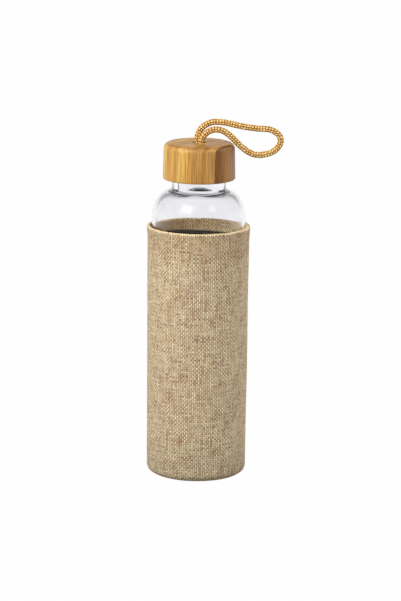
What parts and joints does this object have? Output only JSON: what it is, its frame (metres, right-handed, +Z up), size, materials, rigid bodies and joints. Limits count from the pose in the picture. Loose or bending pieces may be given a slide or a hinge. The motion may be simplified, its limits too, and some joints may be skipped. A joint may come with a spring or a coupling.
{
  "type": "sleeved glass bottle",
  "caption": "Slim round glass bottle in a lined woven cloth sleeve, with a laminated bamboo screw cap and a braided cord loop on its top.",
  "frame": {"origin": "centre of the flat underside of the sleeve, where the bottle stands", "axes": "+Z up along the bottle's axis, +X the side that the cord loop leans to, -Y the front, +Y the back, where the sleeve's side seam runs"},
  "size_m": [0.0907, 0.0696, 0.2419],
  "materials": {
    "woven_cloth": "heathered jute-like plain weave, beige with pinkish-brown and greenish-grey yarns, matt",
    "lining_cloth": "smooth black lining, matt",
    "sewing_thread": "brown spun sewing thread, matt",
    "clear_glass": "clear polished glass with a faint blue-grey tint",
    "silicone": "translucent white silicone, satin",
    "bamboo": "laminated bamboo in warm golden strips, satin lacquer",
    "white_plastic": "moulded natural white plastic, satin",
    "braided_cord": "golden brown braided cord with paler flecks, slight sheen"
  },
  "bodies": {
    "sleeve": {"sleeve_panel": "woven_cloth", "sleeve_base": "woven_cloth", "lining_panel": "lining_cloth", "lining_base": "lining_cloth", "hem_thread": "sewing_thread", "base_seam_thread": "sewing_thread", "side_seam_thread": "sewing_thread"},
    "bottle": {"glass_bottle": "clear_glass"},
    "seal": {"sealing_ring": "silicone"},
    "cap": {"bamboo_cap": "bamboo", "cap_insert": "white_plastic"},
    "knot": {"cord_knot": "braided_cord"},
    "loop": {"cord_loop": "braided_cord"}
  },
  "joints": [
    {"name": "bottle_lift", "type": "slide", "parent": "sleeve", "child": "bottle", "axis": [0, 0, 1], "range_m": [0, 0.18]},
    {"name": "cap_rise", "type": "slide", "parent": "bottle", "child": "seal", "axis": [0, 0, 1], "range_m": [0, 0.032]},
    {"name": "cap_turn", "type": "hinge", "parent": "seal", "child": "cap", "pos_m": [0, 0, 0.2018], "axis": [0, 0, 1], "range_deg": [0, 2880]},
    {"name": "cord_swivel", "type": "hinge", "parent": "cap", "child": "knot", "pos_m": [0, 0, 0.2263], "axis": [0, 0, 1], "range_deg": [-180, 180]},
    {"name": "cord_raise", "type": "hinge", "parent": "knot", "child": "loop", "pos_m": [0.0125, 0, 0.2376], "axis": [0, -1, 0], "range_deg": [0, 60], "deforming": ["cord_loop"]}
  ],
  "couplings": [
    {"joint": "cap_rise", "follows": "cap_turn", "m_per_rad": 0.00063662}
  ]
}
